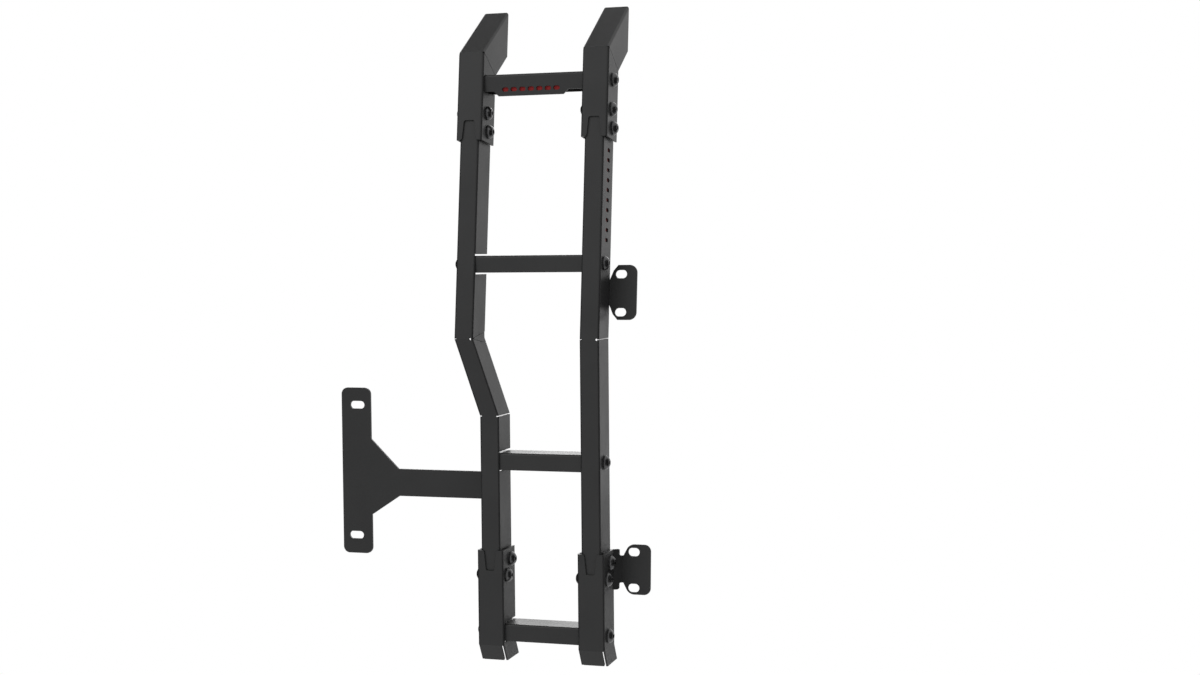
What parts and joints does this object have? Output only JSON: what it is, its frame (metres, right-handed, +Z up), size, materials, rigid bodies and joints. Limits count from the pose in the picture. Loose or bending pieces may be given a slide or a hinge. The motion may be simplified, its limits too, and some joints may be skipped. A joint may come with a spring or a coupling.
{
  "type": "vehicle rear door ladder",
  "caption": "Black sheet-steel ladder for a vehicle's rear door, with hooked rail tops, bolted rungs, a door plate and hinge brackets.",
  "frame": {"origin": "centre of the door plate's back face, the flat face that bolts to the vehicle's door", "axes": "+X along the rungs away from the door plate, +Y towards the vehicle, +Z up"},
  "size_m": [0.5133, 0.1728, 1.0288],
  "materials": {
    "powder_coat": "satin",
    "red_backing": "matte"
  },
  "bodies": {
    "root": {"left_rail": "powder_coat", "right_rail": "powder_coat", "knee_gusset": "powder_coat", "rung_1": "powder_coat", "rung_2": "powder_coat", "rung_3": "powder_coat", "rung_4": "powder_coat", "top_left_hook": "powder_coat", "top_right_hook": "powder_coat", "bottom_left_foot": "powder_coat", "bottom_right_foot": "powder_coat", "door_bracket": "powder_coat", "upper_hinge_bracket": "powder_coat", "lower_hinge_bracket": "powder_coat", "step_backing": "red_backing", "rail_backing": "red_backing"}
  },
  "joints": []
}
